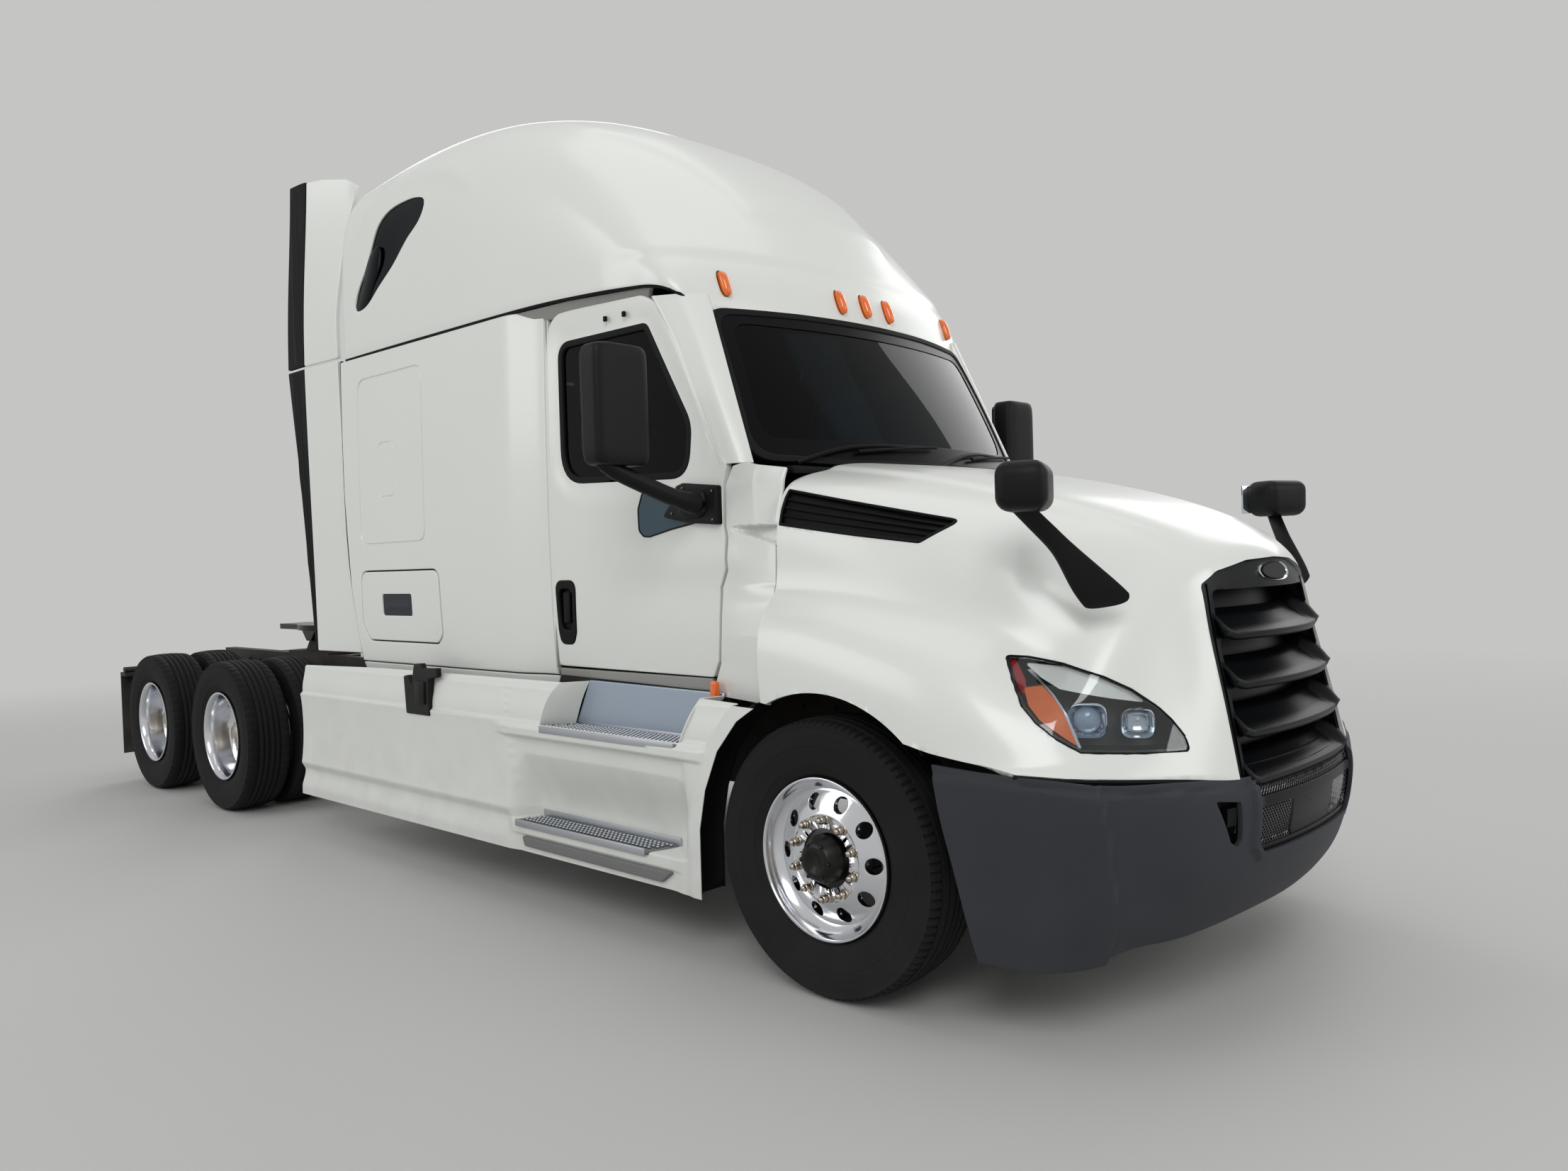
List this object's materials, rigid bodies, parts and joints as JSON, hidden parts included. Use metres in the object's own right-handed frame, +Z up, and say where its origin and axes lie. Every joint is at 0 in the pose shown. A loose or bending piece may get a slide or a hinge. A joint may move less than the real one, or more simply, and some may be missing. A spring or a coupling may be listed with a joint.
{
  "type": "semi truck tractor unit",
  "caption": "Conventional three-axle road tractor with raised-roof sleeper, aerodynamic hood and fairings, and a fifth wheel that couples to a semi-trailer.",
  "frame": {"origin": "on the ground under the middle of the vehicle's box, in the plane of symmetry", "axes": "+X forward, +Y to the driver's left, +Z up"},
  "size_m": [8.78, 3.1, 3.9849],
  "materials": {
    "body_paint": "gloss two-coat paint",
    "bumper_plastic": "textured moulded plastic",
    "trim_plastic": "satin black moulded plastic",
    "glass": "tinted safety glass",
    "lamp_glass": "clear polycarbonate lens",
    "amber_lens": "amber lens",
    "red_lens": "red lens",
    "polished_aluminium": "polished forged aluminium",
    "tread_plate": "mill-finish tread plate",
    "tank_aluminium": "bright aluminium sheet",
    "chassis_paint": "black chassis paint",
    "cast_steel": "painted casting",
    "tyre_rubber": "moulded tyre rubber",
    "rubber": "black rubber",
    "interior_plastic": "grained interior plastic",
    "seat_fabric": "woven seat cloth"
  },
  "bodies": {
    "root": {"bumper": "bumper_plastic", "cab_floor": "chassis_paint", "cab_glass": "glass", "cab_steps": "tread_plate", "chassis_fairings": "body_paint", "cowl": "body_paint", "dashboard": "interior_plastic", "deck_plate": "tread_plate", "drive_axles": "cast_steel", "engine": "cast_steel", "extender_edges": "rubber", "fifth_wheel_mount": "chassis_paint", "frame": "chassis_paint", "front_axle": "cast_steel", "fuel_tanks": "tank_aluminium", "lower_grille": "trim_plastic", "marker_lamps": "amber_lens", "mud_flaps": "rubber", "radiator": "trim_plastic", "roof_cap": "body_paint", "seats": "seat_fabric", "side_extenders": "body_paint", "sleeper_back": "body_paint", "sleeper_sides": "body_paint", "suspension": "cast_steel", "tail_lamps": "red_lens", "windscreen_pillars": "body_paint"},
    "hood": {"hood": "body_paint", "grille": "trim_plastic", "headlamps": "lamp_glass", "hood_mirrors": "trim_plastic"},
    "door_right": {"door_right": "body_paint", "door_glass_right": "glass", "mirror_right": "trim_plastic"},
    "door_left": {"door_left": "body_paint", "door_glass_left": "glass", "mirror_left": "trim_plastic"},
    "baggage_door_right": {"baggage_door_right": "body_paint"},
    "baggage_door_left": {"baggage_door_left": "body_paint"},
    "knuckle_right": {"knuckle_right": "cast_steel"},
    "knuckle_left": {"knuckle_left": "cast_steel"},
    "front_wheel_right": {"front_tyre_right": "tyre_rubber", "front_rim_right": "polished_aluminium"},
    "front_wheel_left": {"front_tyre_left": "tyre_rubber", "front_rim_left": "polished_aluminium"},
    "fifth_wheel": {"fifth_wheel": "cast_steel"},
    "drive_wheels_front_right": {"drive_tyres_front_right": "tyre_rubber", "drive_rims_front_right": "polished_aluminium"},
    "drive_wheels_front_left": {"drive_tyres_front_left": "tyre_rubber", "drive_rims_front_left": "polished_aluminium"},
    "drive_wheels_rear_right": {"drive_tyres_rear_right": "tyre_rubber", "drive_rims_rear_right": "polished_aluminium"},
    "drive_wheels_rear_left": {"drive_tyres_rear_left": "tyre_rubber", "drive_rims_rear_left": "polished_aluminium"}
  },
  "joints": [
    {"name": "steer_right", "type": "hinge", "parent": "root", "child": "knuckle_right", "pos_m": [3.04, -0.9, 0.51], "axis": [0, 0, 1], "range_deg": [-38, 38]},
    {"name": "spin_front_right", "type": "hinge", "parent": "knuckle_right", "child": "front_wheel_right", "pos_m": [3.04, -1.037, 0.51], "axis": [0, 1, 0], "continuous": true},
    {"name": "steer_left", "type": "hinge", "parent": "root", "child": "knuckle_left", "pos_m": [3.04, 0.9, 0.51], "axis": [0, 0, 1], "range_deg": [-38, 38]},
    {"name": "spin_front_left", "type": "hinge", "parent": "knuckle_left", "child": "front_wheel_left", "pos_m": [3.04, 1.037, 0.51], "axis": [0, 1, 0], "continuous": true},
    {"name": "spin_drive_front_right", "type": "hinge", "parent": "root", "child": "drive_wheels_front_right", "pos_m": [-2.3955, -0.9055, 0.51], "axis": [0, 1, 0], "continuous": true},
    {"name": "spin_drive_front_left", "type": "hinge", "parent": "root", "child": "drive_wheels_front_left", "pos_m": [-2.3955, 0.9055, 0.51], "axis": [0, 1, 0], "continuous": true},
    {"name": "spin_drive_rear_right", "type": "hinge", "parent": "root", "child": "drive_wheels_rear_right", "pos_m": [-3.7165, -0.9055, 0.51], "axis": [0, 1, 0], "continuous": true},
    {"name": "spin_drive_rear_left", "type": "hinge", "parent": "root", "child": "drive_wheels_rear_left", "pos_m": [-3.7165, 0.9055, 0.51], "axis": [0, 1, 0], "continuous": true},
    {"name": "open_door_right", "type": "hinge", "parent": "root", "child": "door_right", "pos_m": [2.385, -1.048, 1.6], "axis": [0, 0, 1], "range_deg": [0, 70]},
    {"name": "open_baggage_right", "type": "hinge", "parent": "root", "child": "baggage_door_right", "pos_m": [0.328, -1.061, 1.4], "axis": [0, 0, 1], "range_deg": [0, 90]},
    {"name": "open_door_left", "type": "hinge", "parent": "root", "child": "door_left", "pos_m": [2.385, 1.048, 1.6], "axis": [0, 0, -1], "range_deg": [0, 70]},
    {"name": "open_baggage_left", "type": "hinge", "parent": "root", "child": "baggage_door_left", "pos_m": [0.328, 1.061, 1.4], "axis": [0, 0, -1], "range_deg": [0, 90]},
    {"name": "tilt_hood", "type": "hinge", "parent": "root", "child": "hood", "pos_m": [4.275, 0, 0.68], "axis": [0, 1, 0], "range_deg": [0, 75]},
    {"name": "rock_fifth_wheel", "type": "hinge", "parent": "root", "child": "fifth_wheel", "pos_m": [-2.72, 0, 1.13], "axis": [0, 1, 0], "range_deg": [-12, 12]}
  ],
  "couplings": [
    {"joint": "steer_right", "follows": "steer_left", "ratio": 1}
  ]
}
